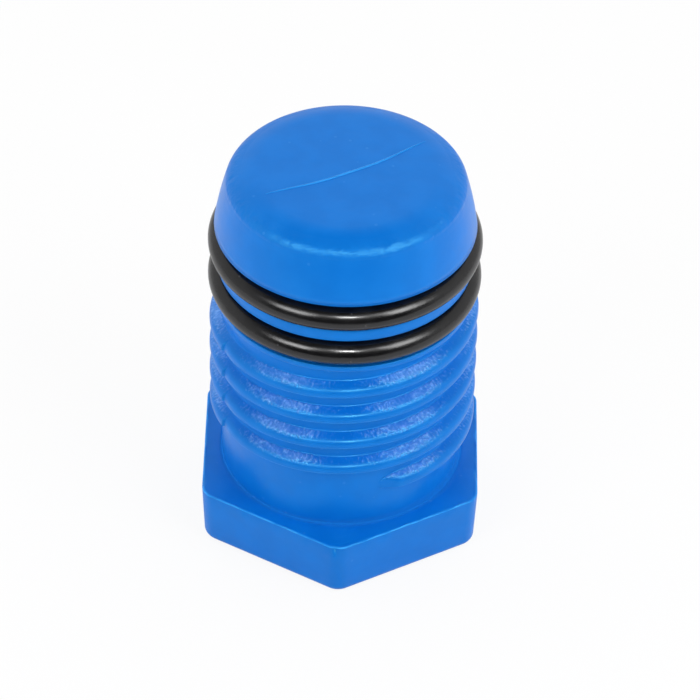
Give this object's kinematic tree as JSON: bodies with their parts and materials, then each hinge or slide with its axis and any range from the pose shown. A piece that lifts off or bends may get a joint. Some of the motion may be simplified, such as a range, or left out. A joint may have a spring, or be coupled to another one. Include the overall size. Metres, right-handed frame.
{
  "type": "pipe test plug",
  "caption": "Moulded plastic plug with a hexagonal head, a coarse male thread and a blunt nose carrying rubber O-rings, used to close a pipe outlet for a pressure test.",
  "frame": {"origin": "centre of the flat underside of the hexagonal head, on the plug's axis", "axes": "+Z along the plug's axis from the head to the nose; two corners of the hexagon lie on -Y and +Y, two flats face -X and +X"},
  "size_m": [0.0218, 0.0248, 0.033],
  "materials": {
    "blue_plastic": "moulded, satin, with coarse flanks on the thread",
    "black_rubber": "smooth, slightly oiled"
  },
  "bodies": {
    "root": {"plug_body": "blue_plastic", "upper_o_ring": "black_rubber", "lower_o_ring": "black_rubber"}
  },
  "joints": []
}
